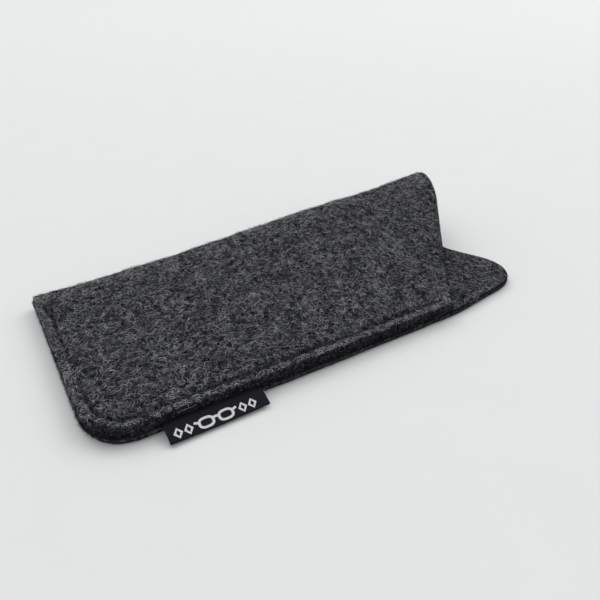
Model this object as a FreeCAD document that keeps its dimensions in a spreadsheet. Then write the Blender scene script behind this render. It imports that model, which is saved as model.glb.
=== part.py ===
import FreeCAD
import Part
import Sketcher
import math
import os

# A soft glasses sleeve made from one blank of wool felt. The blank is folded along the far long
# side and lockstitched along the closed end and the near side. The mouth is open, its front edge
# runs on a slant, and the back layer ends in a rounded thumb tab. A folded ribbon label is sewn
# into the near seam.
#
# Modelling frame, in millimetres: x runs from the closed end to the mouth, y from the sewn near
# edge to the fold, and z up from the surface that the sleeve lies on. Every body's Placement then
# moves this frame's origin to the middle of the whole sleeve's footprint.

SIZES = {
    # felt
    "felt_thickness": 3.0,
    "ply_gap": 0.2,
    "folded_width": 80.0,
    "flat_margin": 7.0,
    # stations of the shell: distance from the closed end, and height over the fold
    "closed_end_x": 0.0,
    "closed_end_rise": 6.2,
    "sewn_end_x": 8.0,
    "sewn_end_rise": 6.2,
    "lower_third_x": 50.0,
    "lower_third_rise": 9.1,
    "middle_x": 100.0,
    "middle_rise": 15.7,
    "throat_x": 140.0,
    "throat_rise": 20.1,
    "beyond_mouth_x": 170.0,
    "beyond_mouth_rise": 26.0,
    # outline
    "end_corner_radius": 15.0,
    "sleeve_length": 163.7,
    "mouth_start_x": 121.8,
    "mouth_slant": 54.5,
    "mouth_bend_y": 46.5,
    "tab_start_x": 118.0,
    "tab_flare_radius": 100.0,
    "tab_slope": 8.5,
    "tab_tip_x": 160.5,
    "tab_tip_radius": 12.0,
    "tab_lean": 27.0,
    "tab_throat_radius": 12.0,
    # seam
    "seam_inset": 3.8,
    "seam_end_x": 119.0,
    "seam_end_y": 70.25,
    "stitch_pitch": 3.25,
    "thread_radius": 0.22,
    "leg_radius": 0.18,
    "groove_radius": 0.8,
    "groove_depth": 0.45,
    # label
    "label_start_x": 19.0,
    "label_width": 29.0,
    "label_tail": 7.6,
    "label_reach": 5.4,
    "label_ply": 0.25,
    "label_slot": 0.2,
    "label_droop": 22.0,
    "label_proud": 0.2,
    "hinge_offset": 0.6,
}
TRIM = 1.0
STATIONS = ("closed_end", "sewn_end", "lower_third", "middle", "throat", "beyond_mouth")
OVERSHOOT = 10.0

doc = FreeCAD.newDocument("felt_glasses_sleeve")
sheet = doc.addObject("Spreadsheet::Sheet", "Sizes")
for row, (alias, number) in enumerate(SIZES.items(), start=1):
    sheet.set(f"A{row}", alias)
    sheet.set(f"B{row}", str(number))
    sheet.setAlias(f"B{row}", alias)
doc.recompute()


class Dimension:
    """A number together with the sheet expression that gives it."""

    def __init__(self, value, text):
        self.value = float(value)
        self.text = text

    @staticmethod
    def of(number):
        return number if isinstance(number, Dimension) else Dimension(number, repr(float(number)))

    def __add__(self, other):
        other = Dimension.of(other)
        return Dimension(self.value + other.value, f"({self.text} + {other.text})")

    def __sub__(self, other):
        other = Dimension.of(other)
        return Dimension(self.value - other.value, f"({self.text} - {other.text})")

    def __mul__(self, other):
        other = Dimension.of(other)
        return Dimension(self.value * other.value, f"({self.text} * {other.text})")

    def __truediv__(self, other):
        other = Dimension.of(other)
        return Dimension(self.value / other.value, f"({self.text} / {other.text})")

    def __neg__(self):
        return Dimension(-self.value, f"(0 - {self.text})")


def sine(angle):
    return Dimension(math.sin(math.radians(angle.value)), f"sin({angle.text})")


def cosine(angle):
    return Dimension(math.cos(math.radians(angle.value)), f"cos({angle.text})")


def size(alias):
    return Dimension(getattr(sheet, alias), f"Sizes.{alias}")


ZERO = Dimension(0.0, "0")
THICKNESS = size("felt_thickness")
GAP_TOP = THICKNESS + size("ply_gap")
SEAM_HEIGHT = GAP_TOP + THICKNESS
MID_HEIGHT = THICKNESS + size("ply_gap") / 2
WIDTH = size("folded_width")
MARGIN = size("flat_margin")
INSET = size("seam_inset")


def bind(owner, path, dimension):
    """Bind a property of an object to the sheet."""
    owner.setExpression(path, dimension.text)


def new_body(name):
    body = doc.addObject("PartDesign::Body", name)
    body.Label = name
    return body


def new_sketch(body, name, role, offset=ZERO):
    """A sketch on one of the body's origin planes, moved along the plane's normal by offset."""
    sketch = body.newObject("Sketcher::SketchObject", name)
    plane = next(item for item in body.Origin.OriginFeatures if item.Role == role)
    sketch.AttachmentSupport = [(plane, "")]
    sketch.MapMode = "FlatFace"
    sketch.AttachmentOffset = FreeCAD.Placement(
        FreeCAD.Vector(0, 0, offset.value), FreeCAD.Rotation())
    bind(sketch, ".AttachmentOffset.Base.z", offset)
    return sketch


def pin_point(sketch, geometry, point, place):
    """Fix one point of a sketch edge to a place given by two dimensions."""
    for kind, dimension in zip(("DistanceX", "DistanceY"), place):
        index = sketch.addConstraint(
            Sketcher.Constraint(kind, geometry, point, dimension.value))
        bind(sketch, f"Constraints[{index}]", dimension)


def draw_path(sketch, path, closed=True):
    """Draw a chain of edges. Each entry is (corner, bend): the edge that leaves the corner is a
    line when bend is None, or an arc about the centre bend = (centre, turn), with turn +1 for
    anticlockwise and -1 for clockwise."""
    corners = [entry[0] for entry in path]
    count = len(path) if closed else len(path) - 1
    ends = []
    for index in range(count):
        start = corners[index]
        end = corners[(index + 1) % len(path)]
        bend = path[index][1]
        first = FreeCAD.Vector(start[0].value, start[1].value, 0)
        last = FreeCAD.Vector(end[0].value, end[1].value, 0)
        if bend is None:
            geometry = sketch.addGeometry(Part.LineSegment(first, last))
            ends.append((geometry, 1, 2))
            continue
        (centre_x, centre_y), turn = bend
        centre = FreeCAD.Vector(centre_x.value, centre_y.value, 0)
        begin, finish = (first, last) if turn > 0 else (last, first)
        start_angle = math.atan2(begin.y - centre.y, begin.x - centre.x)
        end_angle = math.atan2(finish.y - centre.y, finish.x - centre.x)
        circle = Part.Circle(centre, FreeCAD.Vector(0, 0, 1), (first - centre).Length)
        geometry = sketch.addGeometry(Part.ArcOfCircle(circle, start_angle, end_angle))
        ends.append((geometry, 1, 2) if turn > 0 else (geometry, 2, 1))
    for index in range(count):
        geometry, start_point, _ = ends[index]
        if index > 0 or closed:
            previous, _, end_point = ends[index - 1]
            sketch.addConstraint(
                Sketcher.Constraint("Coincident", previous, end_point, geometry, start_point))
        pin_point(sketch, geometry, start_point, corners[index])
        bend = path[index][1]
        if bend is not None:
            centre_place, _ = bend
            axis = 0 if abs(corners[index][1].value - centre_place[1].value) > 1e-6 else 1
            kind = ("DistanceX", "DistanceY")[axis]
            constraint = sketch.addConstraint(
                Sketcher.Constraint(kind, geometry, 3, centre_place[axis].value))
            bind(sketch, f"Constraints[{constraint}]", centre_place[axis])
    if not closed:
        geometry, _, end_point = ends[-1]
        pin_point(sketch, geometry, end_point, corners[-1])


def draw_circle(sketch, centre, radius):
    place = FreeCAD.Vector(centre[0].value, centre[1].value, 0)
    geometry = sketch.addGeometry(Part.Circle(place, FreeCAD.Vector(0, 0, 1), radius.value))
    pin_point(sketch, geometry, 3, centre)
    index = sketch.addConstraint(Sketcher.Constraint("Radius", geometry, radius.value))
    bind(sketch, f"Constraints[{index}]", radius)


def pad(body, name, sketch, length, downwards=False):
    feature = body.newObject("PartDesign::Pad", name)
    feature.Profile = sketch
    feature.Length = length.value
    bind(feature, "Length", length)
    feature.Reversed = downwards
    doc.recompute()
    return feature


def cut_up(body, name, sketch, length):
    """Pocket from the sketch upwards, and make sure that it removed felt."""
    before = body.Shape.Volume
    feature = body.newObject("PartDesign::Pocket", name)
    feature.Profile = sketch
    feature.Length = length.value
    bind(feature, "Length", length)
    feature.Reversed = True
    doc.recompute()
    if body.Shape.Volume >= before:
        raise RuntimeError(f"{name} removed nothing")
    return feature


def pipe(body, name, kind, profile, spine):
    feature = body.newObject(f"PartDesign::{kind}Pipe", name)
    feature.Profile = profile
    feature.Spine = (spine, [f"Edge{number}" for number in (1, 2, 3)])
    feature.Transition = "Transformed"
    doc.recompute()
    return feature


# ---------------------------------------------------------------- felt blank


def fold_centre(rise):
    """Where the fold's arc is centred, so that every section uses the same length of felt: the
    back layer, half a turn round the fold, then a slant down to the flat margin."""
    flat_radius = SEAM_HEIGHT / 2
    spare = (WIDTH - MARGIN) * 2 - flat_radius * 2
    spare = spare - (rise / 2 - flat_radius) * math.pi
    climb = rise - SEAM_HEIGHT
    return MARGIN + (spare * spare - climb * climb) / (spare * 2)


def section_path(rise):
    """The folded felt across the sleeve: back layer, fold, front layer, as one closed C. The back
    layer is drawn too thick below, and is trimmed to a true plane later."""
    fold_y = fold_centre(rise)
    fold_arc = (fold_y, rise / 2)
    return [
        ((ZERO, Dimension.of(-TRIM)), None),
        ((fold_y, Dimension.of(-TRIM)), None),
        ((fold_y, ZERO), (fold_arc, 1)),
        ((fold_y, rise), None),
        ((MARGIN, SEAM_HEIGHT), None),
        ((ZERO, SEAM_HEIGHT), None),
        ((ZERO, GAP_TOP), None),
        ((MARGIN, GAP_TOP), None),
        ((fold_y, rise - THICKNESS), (fold_arc, -1)),
        ((fold_y, THICKNESS), None),
        ((ZERO, THICKNESS), None),
    ]


def corner_waste():
    """What is trimmed off the corner where the closed end meets the near side."""
    radius = size("end_corner_radius")
    outside = Dimension.of(-OVERSHOOT)
    return [
        ((ZERO, radius), ((radius, radius), 1)),
        ((radius, ZERO), None),
        ((radius, outside), None),
        ((outside, outside), None),
        ((outside, radius), None),
    ]


def mouth_bend():
    """Where the slanted mouth edge starts to bend round into the end of the fold, and the bend's
    centre."""
    slant = size("mouth_slant")
    bend_y = size("mouth_bend_y")
    edge_x = size("sleeve_length")
    bend_x = size("mouth_start_x") + bend_y * cosine(slant) / sine(slant)
    radius = (edge_x - bend_x) / (-(sine(slant) - 1))
    return (bend_x, bend_y), (edge_x - radius, bend_y + radius * cosine(slant))


def tab_waste():
    """What is trimmed off beyond the thumb tab: a flare, a straight side, the round tip, a side
    that leans back, a round throat, and then the same edge as the mouth's up to the fold."""
    flare = size("tab_flare_radius")
    slope = size("tab_slope")
    tip = size("tab_tip_radius")
    lean = size("tab_lean")
    slant = size("mouth_slant")
    throat = size("tab_throat_radius")
    start_x = size("tab_start_x")
    edge_x = size("sleeve_length")
    flare_x = start_x + flare * sine(slope)
    flare_y = flare - flare * cosine(slope)
    centre_x = size("tab_tip_x") - tip
    round_x = centre_x + tip * sine(slope)
    round_y = flare_y + (round_x - flare_x) * sine(slope) / cosine(slope)
    centre_y = round_y + tip * cosine(slope)
    leave_x = centre_x + tip * cosine(lean)
    leave_y = centre_y + tip * sine(lean)
    back = sine(lean) / cosine(lean)
    forth = cosine(slant) / sine(slant)
    meet_y = (leave_x + leave_y * back - size("mouth_start_x")) / (back + forth)
    meet_x = size("mouth_start_x") + meet_y * forth
    run = throat * cosine(slant - lean) / (sine(slant - lean) + 1)
    into_x = meet_x + sine(lean) * run
    into_y = meet_y - cosine(lean) * run
    throat_centre = (into_x + cosine(lean) * throat, into_y + sine(lean) * throat)
    out_of = (meet_x + cosine(slant) * run, meet_y + sine(slant) * run)
    bend, bend_centre = mouth_bend()
    beyond_x = size("beyond_mouth_x") + OVERSHOOT
    beyond_y = WIDTH + OVERSHOOT
    outside = Dimension.of(-OVERSHOOT)
    return [
        ((start_x, ZERO), ((start_x, flare), 1)),
        ((flare_x, flare_y), None),
        ((round_x, round_y), ((centre_x, centre_y), 1)),
        ((leave_x, leave_y), None),
        ((into_x, into_y), (throat_centre, -1)),
        (out_of, None),
        (bend, (bend_centre, 1)),
        ((edge_x, bend_centre[1]), None),
        ((edge_x, beyond_y), None),
        ((beyond_x, beyond_y), None),
        ((beyond_x, outside), None),
        ((start_x, outside), None),
    ]


def mouth_waste():
    """What is trimmed off the front layer beyond its slanted mouth edge, which bends round into
    the end of the fold."""
    slant = size("mouth_slant")
    edge_x = size("sleeve_length")
    lean = cosine(slant) / sine(slant)
    bend, bend_centre = mouth_bend()
    beyond_x = size("beyond_mouth_x") + OVERSHOOT
    beyond_y = WIDTH + OVERSHOOT
    return [
        ((size("mouth_start_x") - lean * OVERSHOOT, Dimension.of(-OVERSHOOT)), None),
        (bend, (bend_centre, 1)),
        ((edge_x, bend_centre[1]), None),
        ((edge_x, beyond_y), None),
        ((beyond_x, beyond_y), None),
        ((beyond_x, Dimension.of(-OVERSHOOT)), None),
    ]


def seam_path():
    """The seam line: down the closed end, round the corner, along the near side."""
    radius = size("end_corner_radius")
    return [
        ((INSET, size("seam_end_y")), None),
        ((INSET, radius), ((radius, radius), 1)),
        ((radius, INSET), None),
        ((size("seam_end_x"), INSET), None),
    ]


def add_seam_pipe(body, prefix, kind, radius, height):
    """Sweep a round section along the seam line at a height: a thread, or the groove it sinks
    into."""
    spine = new_sketch(body, f"{prefix}_line", "XY_Plane", height)
    draw_path(spine, seam_path(), closed=False)
    profile = new_sketch(body, f"{prefix}_section", "XZ_Plane", -size("seam_end_y"))
    draw_circle(profile, (INSET, height), radius)
    doc.recompute()
    return pipe(body, f"{prefix}_sweep", kind, profile, spine)


def add_felt_blank():
    body = new_body("felt_blank")
    sections = []
    for station in STATIONS:
        sketch = new_sketch(body, f"section_{station}", "YZ_Plane", size(f"{station}_x"))
        draw_path(sketch, section_path(size(f"{station}_rise")))
        sections.append(sketch)
    doc.recompute()
    shell = body.newObject("PartDesign::AdditiveLoft", "folded_shell")
    shell.Profile = sections[0]
    shell.Sections = sections[1:]
    shell.Ruled = True
    doc.recompute()

    underside = new_sketch(body, "underside_outline", "XY_Plane", Dimension.of(-TRIM * 2))
    draw_path(underside, [
        ((Dimension.of(-OVERSHOOT), Dimension.of(-OVERSHOOT)), None),
        ((size("beyond_mouth_x") + OVERSHOOT, Dimension.of(-OVERSHOOT)), None),
        ((size("beyond_mouth_x") + OVERSHOOT, WIDTH + OVERSHOOT), None),
        ((Dimension.of(-OVERSHOOT), WIDTH + OVERSHOOT), None),
    ])
    doc.recompute()
    cut_up(body, "underside_trim", underside, Dimension.of(TRIM * 2))

    top = size("beyond_mouth_rise") + OVERSHOOT
    for name, outline, base in (
            ("mouth_edge", mouth_waste(), MID_HEIGHT),
            ("tab_edge", tab_waste(), ZERO),
            ("end_corner", corner_waste(), ZERO)):
        sketch = new_sketch(body, f"{name}_outline", "XY_Plane", base)
        draw_path(sketch, outline)
        doc.recompute()
        cut_up(body, name, sketch, top)

    left = size("label_start_x")
    right = left + size("label_width")
    recess = new_sketch(body, "label_recess_outline", "XY_Plane", MID_HEIGHT - size("label_ply"))
    draw_path(recess, [
        ((left, Dimension.of(-OVERSHOOT)), None),
        ((right, Dimension.of(-OVERSHOOT)), None),
        ((right, size("label_tail")), None),
        ((left, size("label_tail")), None),
    ])
    doc.recompute()
    cut_up(body, "label_recess", recess, size("label_ply") * 2)

    groove_rise = size("groove_radius") - size("groove_depth")
    for name, height in (("top_groove", SEAM_HEIGHT + groove_rise), ("under_groove", -groove_rise)):
        before = body.Shape.Volume
        add_seam_pipe(body, name, "Subtractive", size("groove_radius"), height)
        if body.Shape.Volume >= before:
            raise RuntimeError(f"{name} removed nothing")
    return body


# ---------------------------------------------------------------- threads


def pattern(body, name, kind, feature, occurrences):
    repeat = body.newObject(f"PartDesign::{kind}Pattern", name)
    repeat.Originals = [feature]
    repeat.Occurrences = occurrences
    body.Tip = repeat
    return repeat


def add_thread(name, height, towards_top):
    """One thread of the lockstitch: its run along the seam, and a leg at every stitch hole down
    to the other thread at mid thickness."""
    body = new_body(name)
    radius = size("leg_radius")
    corner = size("end_corner_radius")
    pitch = size("stitch_pitch")
    add_seam_pipe(body, "run", "Additive", size("thread_radius"), height)
    depth = height - MID_HEIGHT if towards_top else MID_HEIGHT - height

    def leg(label, place):
        sketch = new_sketch(body, f"{label}_hole", "XY_Plane", height)
        draw_circle(sketch, place, radius)
        doc.recompute()
        return pad(body, f"{label}_leg", sketch, depth, downwards=towards_top)

    near_count = round((size("seam_end_x") - corner).value / pitch.value)
    near_leg = leg("near", (size("seam_end_x"), INSET))
    near_row = pattern(body, "near_legs", "Linear", near_leg, near_count)
    near_row.Direction = (near_leg.Profile[0], ["H_Axis"])
    near_row.Reversed = True
    near_row.Length = (pitch * (near_count - 1)).value
    bind(near_row, "Length", pitch * (near_count - 1))
    doc.recompute()

    end_count = round((size("seam_end_y") - corner).value / pitch.value)
    end_leg = leg("end", (INSET, size("seam_end_y")))
    end_row = pattern(body, "end_legs", "Linear", end_leg, end_count)
    end_row.Direction = (end_leg.Profile[0], ["V_Axis"])
    end_row.Reversed = True
    end_row.Length = (pitch * (end_count - 1)).value
    bind(end_row, "Length", pitch * (end_count - 1))
    doc.recompute()

    arc_radius = corner - INSET
    arc_count = round(math.pi / 2 * arc_radius.value / pitch.value) + 1
    turn_sketch = new_sketch(body, "corner_hole", "XY_Plane", height)
    turn_sketch.AttachmentOffset = FreeCAD.Placement(
        FreeCAD.Vector(corner.value, corner.value, height.value), FreeCAD.Rotation())
    bind(turn_sketch, ".AttachmentOffset.Base.x", corner)
    bind(turn_sketch, ".AttachmentOffset.Base.y", corner)
    draw_circle(turn_sketch, (-arc_radius, ZERO), radius)
    doc.recompute()
    corner_leg = pad(body, "corner_leg", turn_sketch, depth, downwards=towards_top)
    corner_row = pattern(body, "corner_legs", "Polar", corner_leg, arc_count)
    corner_row.Axis = (turn_sketch, ["N_Axis"])
    corner_row.Angle = 90.0
    doc.recompute()
    return body


# ---------------------------------------------------------------- ribbon label


def add_label_ends():
    """The two ends of the ribbon, pressed together between the felt layers."""
    body = new_body("label_ends")
    ply = size("label_ply")
    left = size("label_start_x")
    right = left + size("label_width")
    sketch = new_sketch(body, "tail_outline", "XY_Plane", MID_HEIGHT - ply)
    draw_path(sketch, [
        ((left, -size("label_proud")), None),
        ((right, -size("label_proud")), None),
        ((right, size("label_tail")), None),
        ((left, size("label_tail")), None),
    ])
    doc.recompute()
    pad(body, "tail", sketch, ply * 2)
    return body


def add_label_loop():
    """The free part of the ribbon: two plies and the fold that joins them, drawn level with its
    root on the origin, then drooped by the body's Placement."""
    body = new_body("label_loop")
    half_slot = size("label_slot") / 2
    half = half_slot + size("label_ply")
    bend_y = half - size("label_reach")
    centre = (bend_y, ZERO)
    sketch = new_sketch(body, "loop_section", "YZ_Plane", ZERO)
    draw_path(sketch, [
        ((ZERO, half), None),
        ((bend_y, half), (centre, 1)),
        ((bend_y, -half), None),
        ((ZERO, -half), None),
        ((ZERO, -half_slot), None),
        ((bend_y, -half_slot), (centre, -1)),
        ((bend_y, half_slot), None),
        ((ZERO, half_slot), None),
    ])
    doc.recompute()
    pad(body, "loop", sketch, size("label_width"))
    return body


# ---------------------------------------------------------------- assembly


felt_blank = add_felt_blank()
needle_height = SEAM_HEIGHT - size("groove_depth") + size("thread_radius")
bobbin_height = size("groove_depth") - size("thread_radius")
needle_thread = add_thread("needle_thread", needle_height, towards_top=True)
bobbin_thread = add_thread("bobbin_thread", bobbin_height, towards_top=False)
label_ends = add_label_ends()
label_loop = add_label_loop()

droop = size("label_droop")
label_half = size("label_ply") + size("label_slot") / 2
tip_reach = (size("label_reach") - label_half) * cosine(droop) + label_half
far_side_y = -(size("hinge_offset") + tip_reach)
origin_x = size("sleeve_length") / 2
origin_y = (WIDTH + far_side_y) / 2

for body in (felt_blank, needle_thread, bobbin_thread, label_ends):
    body.Placement = FreeCAD.Placement(
        FreeCAD.Vector(-origin_x.value, -origin_y.value, 0), FreeCAD.Rotation())
    bind(body, ".Placement.Base.x", -origin_x)
    bind(body, ".Placement.Base.y", -origin_y)
label_loop.Placement = FreeCAD.Placement(
    FreeCAD.Vector(0, 0, 0), FreeCAD.Rotation(FreeCAD.Vector(1, 0, 0), droop.value))
bind(label_loop, ".Placement.Base.x", size("label_start_x") - origin_x)
bind(label_loop, ".Placement.Base.y", -(size("hinge_offset") + origin_y))
bind(label_loop, ".Placement.Base.z", MID_HEIGHT)
bind(label_loop, ".Placement.Rotation.Angle", droop)
doc.recompute()

for item in doc.Objects:
    if "Invalid" in item.State or "Error" in item.State:
        raise RuntimeError(f"{item.Name} failed: {item.State}")

os.makedirs("parts", exist_ok=True)
for body in (felt_blank, needle_thread, bobbin_thread, label_ends, label_loop):
    shape = body.Shape
    if shape.isNull() or not shape.isValid():
        raise RuntimeError(f"{body.Label} has no valid shape")
    box = shape.BoundBox
    print(body.Label, len(shape.Solids), "solid, volume", round(shape.Volume, 2),
          [round(value, 2) for value in (box.XMin, box.YMin, box.ZMin, box.XMax, box.YMax, box.ZMax)])
    shape.exportStep(f"parts/{body.Label}.step")
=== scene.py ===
import math

import bmesh
import bpy
import numpy as np
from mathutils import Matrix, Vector, noise


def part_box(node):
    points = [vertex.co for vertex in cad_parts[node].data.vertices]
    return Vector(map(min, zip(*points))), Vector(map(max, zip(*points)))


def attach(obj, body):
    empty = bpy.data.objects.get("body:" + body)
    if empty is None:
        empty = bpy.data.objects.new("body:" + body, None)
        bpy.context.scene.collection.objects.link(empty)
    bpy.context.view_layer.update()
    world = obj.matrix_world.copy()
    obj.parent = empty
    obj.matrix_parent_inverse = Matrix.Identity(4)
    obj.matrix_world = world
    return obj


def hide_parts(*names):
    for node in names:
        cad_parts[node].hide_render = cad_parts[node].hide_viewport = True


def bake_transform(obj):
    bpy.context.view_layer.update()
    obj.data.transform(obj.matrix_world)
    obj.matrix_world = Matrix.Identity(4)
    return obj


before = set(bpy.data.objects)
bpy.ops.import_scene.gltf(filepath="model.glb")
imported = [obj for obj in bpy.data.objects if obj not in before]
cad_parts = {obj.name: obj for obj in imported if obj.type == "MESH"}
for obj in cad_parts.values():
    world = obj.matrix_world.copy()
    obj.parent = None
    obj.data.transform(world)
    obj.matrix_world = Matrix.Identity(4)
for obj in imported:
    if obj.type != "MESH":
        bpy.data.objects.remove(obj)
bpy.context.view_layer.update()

# Lengths are in millimetres up to the moment a mesh is made. The design frame has x from the
# closed end to the mouth, y from the sewn near edge to the fold, and z up.
MM = 0.001
SEED = 20260
rng = np.random.default_rng(SEED)
FELT_LOW, FELT_HIGH = (np.array(corner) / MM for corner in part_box("felt_blank"))
LENGTH = FELT_HIGH[0] - FELT_LOW[0]
WIDTH = FELT_HIGH[1] - FELT_LOW[1]
ORIGIN = np.array([FELT_LOW[0], FELT_LOW[1], 0.0])

# Felt and its folded section.
THICKNESS = 3.0
PLY_GAP = 0.2
SEAM_HEIGHT = 2 * THICKNESS + PLY_GAP
STATION_X = np.array([0.0, 8.0, 50.0, 100.0, 140.0, 170.0])
STATION_RISE = np.array([6.2, 6.2, 9.1, 15.7, 20.1, 26.0])
FLAT_MARGIN = 7.0

# Outline of the blank.
CORNER_RADIUS = 15.0
TAB_START_X = 118.0
TAB_FLARE_RADIUS = 100.0
TAB_SLOPE = math.radians(8.5)
TAB_TIP_X = 160.5
TAB_TIP_RADIUS = 12.0
TAB_LEAN = math.radians(27.0)
TAB_THROAT_RADIUS = 12.0
MOUTH_START_X = 121.8
MOUTH_SLANT = math.radians(54.5)
MOUTH_BEND_Y = 46.5

# Seam.
SEAM_INSET = 3.8
SEAM_END_X = 119.0
SEAM_END_Y = 70.25
STITCH_PITCH = 3.25
GROOVE_DEPTH = 0.85
GROOVE_WIDTH = 0.60
END_PULL = 0.75
SIDE_PULL = 0.55
PULL_REACH = 6


def smoothstep(low, high, value):
    """0 below low, 1 above high, and a smooth change between them."""
    t = np.clip((value - low) / (high - low), 0, 1)
    return t * t * (3 - 2 * t)


# ---------------------------------------------------------------- outline and section


def rise(x):
    """Height over the fold at x: a smooth curve through the stations."""
    slope = np.diff(STATION_RISE) / np.diff(STATION_X)
    tangent = np.concatenate([slope[:1], (slope[1:] + slope[:-1]) / 2, slope[-1:]])
    cell = np.clip(np.searchsorted(STATION_X, x, side="right") - 1, 0, len(slope) - 1)
    span = STATION_X[cell + 1] - STATION_X[cell]
    t = (x - STATION_X[cell]) / span
    return (STATION_RISE[cell] * (2 * t**3 - 3 * t**2 + 1)
            + tangent[cell] * span * (t**3 - 2 * t**2 + t)
            + STATION_RISE[cell + 1] * (3 * t**2 - 2 * t**3)
            + tangent[cell + 1] * span * (t**3 - t**2))


def fold_centre(height):
    """y of the fold's centre, so that every section uses the same length of felt."""
    flat_radius = SEAM_HEIGHT / 2
    spare = 2 * (WIDTH - FLAT_MARGIN) - 2 * flat_radius - math.pi * (height / 2 - flat_radius)
    climb = height - SEAM_HEIGHT
    return FLAT_MARGIN + (spare**2 - climb**2) / (2 * spare)


def closed_end_x(y):
    """Where the felt starts at the closed end, with its rounded near corner."""
    inside = np.clip(CORNER_RADIUS - y, 0, CORNER_RADIUS)
    return CORNER_RADIUS - np.sqrt(CORNER_RADIUS**2 - inside**2)


def mouth_x(y):
    """Where the front layer ends: a slant that bends round into the end of the fold."""
    lean = 1 / math.tan(MOUTH_SLANT)
    bend_x = MOUTH_START_X + MOUTH_BEND_Y * lean
    radius = (LENGTH - bend_x) / (1 - math.sin(MOUTH_SLANT))
    centre_y = MOUTH_BEND_Y + radius * math.cos(MOUTH_SLANT)
    bend = LENGTH - radius + np.sqrt(np.clip(radius**2 - (centre_y - y)**2, 0, None))
    return np.select([y < MOUTH_BEND_Y, y < centre_y], [MOUTH_START_X + y * lean, bend], LENGTH)


def tab_x(y):
    """Where the back layer ends: a flare, a straight side, the round tip, a side that leans back,
    a round throat, and then the same edge as the mouth's."""
    flare_y = TAB_FLARE_RADIUS * (1 - math.cos(TAB_SLOPE))
    flare_x = TAB_START_X + TAB_FLARE_RADIUS * math.sin(TAB_SLOPE)
    centre_x = TAB_TIP_X - TAB_TIP_RADIUS
    round_x = centre_x + TAB_TIP_RADIUS * math.sin(TAB_SLOPE)
    round_y = flare_y + (round_x - flare_x) * math.tan(TAB_SLOPE)
    centre_y = round_y + TAB_TIP_RADIUS * math.cos(TAB_SLOPE)
    leave_x = centre_x + TAB_TIP_RADIUS * math.cos(TAB_LEAN)
    leave_y = centre_y + TAB_TIP_RADIUS * math.sin(TAB_LEAN)
    back = math.tan(TAB_LEAN)
    forth = 1 / math.tan(MOUTH_SLANT)
    meet_y = (leave_x + leave_y * back - MOUTH_START_X) / (back + forth)
    meet_x = MOUTH_START_X + meet_y * forth
    run = TAB_THROAT_RADIUS * math.tan((TAB_LEAN + math.pi / 2 - MOUTH_SLANT) / 2)
    into_x = meet_x + math.sin(TAB_LEAN) * run
    into_y = meet_y - math.cos(TAB_LEAN) * run
    throat_x = into_x + math.cos(TAB_LEAN) * TAB_THROAT_RADIUS
    throat_y = into_y + math.sin(TAB_LEAN) * TAB_THROAT_RADIUS
    out_y = meet_y + math.sin(MOUTH_SLANT) * run

    flare = TAB_START_X + np.sqrt(np.clip(
        TAB_FLARE_RADIUS**2 - (TAB_FLARE_RADIUS - y)**2, 0, None))
    side = flare_x + (y - flare_y) / math.tan(TAB_SLOPE)
    tip = centre_x + np.sqrt(np.clip(TAB_TIP_RADIUS**2 - (centre_y - y)**2, 0, None))
    lean = leave_x - (y - leave_y) * back
    throat = throat_x - np.sqrt(np.clip(TAB_THROAT_RADIUS**2 - (throat_y - y)**2, 0, None))
    return np.select([y < flare_y, y < round_y, y < leave_y, y < into_y, y < out_y],
                     [flare, side, tip, lean, throat], mouth_x(y))


def seam_distance(x, y):
    """Distance in from the sewn outline: the closed end, the round corner, the near edge."""
    corner = CORNER_RADIUS - np.hypot(CORNER_RADIUS - x, CORNER_RADIUS - y)
    return np.where((x < CORNER_RADIUS) & (y < CORNER_RADIUS), corner, np.minimum(x, y))


def front_height(x, y):
    """Mid-thickness height of the front layer: flat at the seam, straight up to a round fold."""
    height = rise(x)
    centre = fold_centre(height)
    from_seam = (y - SEAM_INSET) / (centre - SEAM_INSET)
    climb = (from_seam + np.sqrt(from_seam**2 + 0.02**2)) / 2
    to_fold = np.clip(1 - climb, 0, None)
    round_off = 0.16
    share = 1 - (np.sqrt(to_fold**2 + round_off**2) - round_off) / (
        math.sqrt(1 + round_off**2) - round_off)
    return SEAM_HEIGHT - THICKNESS / 2 + (height - SEAM_HEIGHT) * share


# ---------------------------------------------------------------- felt surface grid

EDGE_ROWS = 22
PANEL_ROWS = 62
FOLD_ROWS = 26
COLUMNS = 182
OUTER_ROUND = 1.15
SEAM_ROUND = 1.9
INNER_ROUND = 0.45


def column_shares():
    """Shares of the length for the grid's columns, close together near both cut ends."""
    lead = np.array([0.0, 0.12, 0.3, 0.52, 0.8, 1.15, 1.6, 2.2])
    middle = np.linspace(3.0, LENGTH - 3.0, COLUMNS - 2 * len(lead))
    return np.concatenate([lead, middle, LENGTH - lead[::-1]]) / LENGTH


def panel_y(row, x):
    """y of a panel's row at x: fixed rows round the corner, then rows that share the rest."""
    edge_share = row / EDGE_ROWS
    fixed = CORNER_RADIUS * (1 - np.cos(np.clip(edge_share, 0, 1) * math.pi / 2))
    rest = np.clip((row - EDGE_ROWS) / PANEL_ROWS, 0, 1)
    centre = fold_centre(rise(x))
    return np.where(row <= EDGE_ROWS, fixed, CORNER_RADIUS + (centre - CORNER_RADIUS) * rest)


def solve_end(place, outline):
    """x at which a row meets an outline that is a function of the row's own y."""
    x = np.full_like(place(np.array(LENGTH) * 1.0), LENGTH)
    for _ in range(8):
        x = outline(place(x))
    return x


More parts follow.
